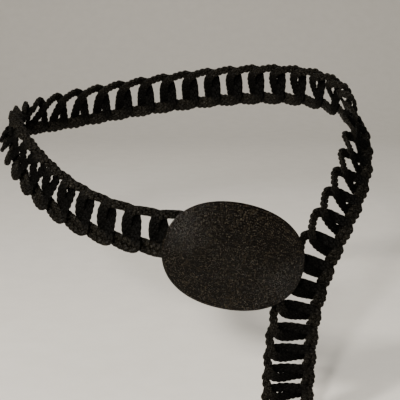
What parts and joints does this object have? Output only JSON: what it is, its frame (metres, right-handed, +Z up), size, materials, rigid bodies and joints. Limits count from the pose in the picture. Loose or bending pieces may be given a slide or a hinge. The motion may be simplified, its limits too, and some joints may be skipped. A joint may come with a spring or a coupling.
{
  "type": "woven chain belt",
  "caption": "Hip belt of interlocked oval rings of plaited cord, with a free hanging end and a large domed oval buckle covered with coiled thread.",
  "frame": {"origin": "middle of the wearer's hips, level with the middle of the buckle", "axes": "+Z up along the wearer, the wearer's front and the buckle face -Y, +X to the viewer's right"},
  "size_m": [0.3416, 0.2555, 0.29],
  "materials": {
    "plaited_cord": "glossy black plait of fine cords",
    "coiled_thread": "glossy black-brown thread coiled in close oval rows",
    "back_metal": "dark lacquered sheet and wire"
  },
  "bodies": {
    "root": {"link_01": "plaited_cord", "link_02": "plaited_cord", "link_03": "plaited_cord", "link_04": "plaited_cord", "link_05": "plaited_cord", "link_06": "plaited_cord", "link_07": "plaited_cord", "link_08": "plaited_cord", "link_09": "plaited_cord", "link_10": "plaited_cord", "link_11": "plaited_cord", "link_12": "plaited_cord", "link_13": "plaited_cord", "link_14": "plaited_cord", "link_15": "plaited_cord", "link_16": "plaited_cord", "link_17": "plaited_cord", "link_18": "plaited_cord", "link_19": "plaited_cord", "link_20": "plaited_cord", "link_21": "plaited_cord", "link_22": "plaited_cord", "link_23": "plaited_cord", "link_24": "plaited_cord", "link_25": "plaited_cord", "link_26": "plaited_cord", "link_27": "plaited_cord", "link_28": "plaited_cord", "link_29": "plaited_cord", "link_30": "plaited_cord", "link_31": "plaited_cord", "link_32": "plaited_cord", "link_33": "plaited_cord", "link_34": "plaited_cord", "link_35": "plaited_cord", "link_36": "plaited_cord", "link_37": "plaited_cord", "link_38": "plaited_cord", "link_39": "plaited_cord", "link_40": "plaited_cord", "link_41": "plaited_cord", "link_42": "plaited_cord", "link_43": "plaited_cord", "link_44": "plaited_cord", "link_45": "plaited_cord", "buckle_cover": "coiled_thread", "buckle_back": "back_metal"}
  },
  "joints": []
}
